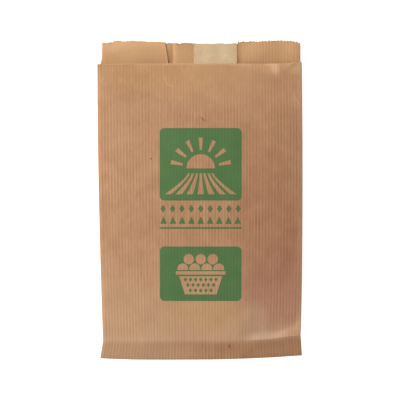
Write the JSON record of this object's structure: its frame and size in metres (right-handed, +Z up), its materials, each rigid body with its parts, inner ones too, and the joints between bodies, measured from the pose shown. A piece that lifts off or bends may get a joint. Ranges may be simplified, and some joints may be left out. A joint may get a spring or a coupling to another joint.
{
  "type": "paper bag",
  "caption": "Empty side-gusseted kraft paper bag lying flat, with a stepped and toothed mouth, a turned-under glued bottom and a cream strip inside the back.",
  "frame": {"origin": "on the ground under the middle of the lying bag", "axes": "+X across the bag, +Y from the glued bottom up to the mouth, +Z up out of the front panel"},
  "size_m": [0.1821, 0.2834, 0.009],
  "materials": {
    "kraft_paper": "ribbed matt kraft",
    "cream_paper": "smooth matt",
    "green_ink": "matt printing ink"
  },
  "bodies": {
    "root": {"paper_bag": "kraft_paper", "cream_strip": "cream_paper"}
  },
  "joints": []
}
